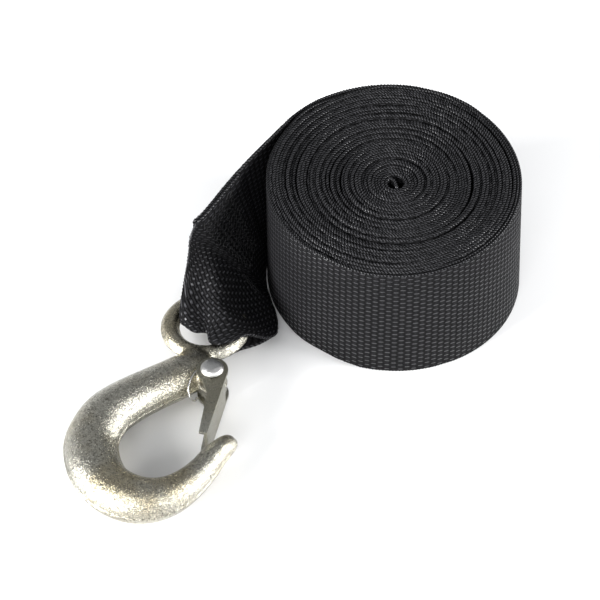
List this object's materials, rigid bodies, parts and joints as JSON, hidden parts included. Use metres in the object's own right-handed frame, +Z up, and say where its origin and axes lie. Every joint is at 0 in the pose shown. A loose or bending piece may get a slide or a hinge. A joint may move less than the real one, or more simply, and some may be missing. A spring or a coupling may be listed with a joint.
{
  "type": "winch strap with eye hook",
  "caption": "Rolled black webbing winch strap with a forged, zinc-plated eye hook sewn into its outer end and a sprung safety latch.",
  "frame": {"origin": "on the floor, under the middle of the whole as it lies", "axes": "+Z up along the roll's axis, -Y towards the hook's bowl, +X from the strap's loop towards the roll"},
  "size_m": [0.1614, 0.1686, 0.05],
  "materials": {
    "webbing": "black woven polyester webbing, dull with a faint sheen on the yarns",
    "plated_forging": "drop-forged steel, pale yellow-green zinc plating over a grainy forged skin",
    "plated_sheet": "pressed sheet steel, zinc plated, duller than the hook",
    "rivet_steel": "bright zinc",
    "spring_wire": "bright spring wire"
  },
  "bodies": {
    "strap": {"webbing_strap": "webbing"},
    "hook": {"hook_forging": "plated_forging", "latch_rivet": "rivet_steel", "latch_spring": "spring_wire"},
    "latch": {"latch": "plated_sheet"}
  },
  "joints": [
    {"name": "hook_swing", "type": "hinge", "parent": "strap", "child": "hook", "pos_m": [-0.0331, 0.00353, 0.008], "axis": [0, 0, 1], "range_deg": [-45, 20]},
    {"name": "latch_pivot", "type": "hinge", "parent": "hook", "child": "latch", "pos_m": [-0.02998, -0.02256, 0.008], "axis": [0, 0, -1], "range_deg": [0, 45], "stiffness_Nm_per_rad": 0.05, "springref_deg": -28.65}
  ]
}
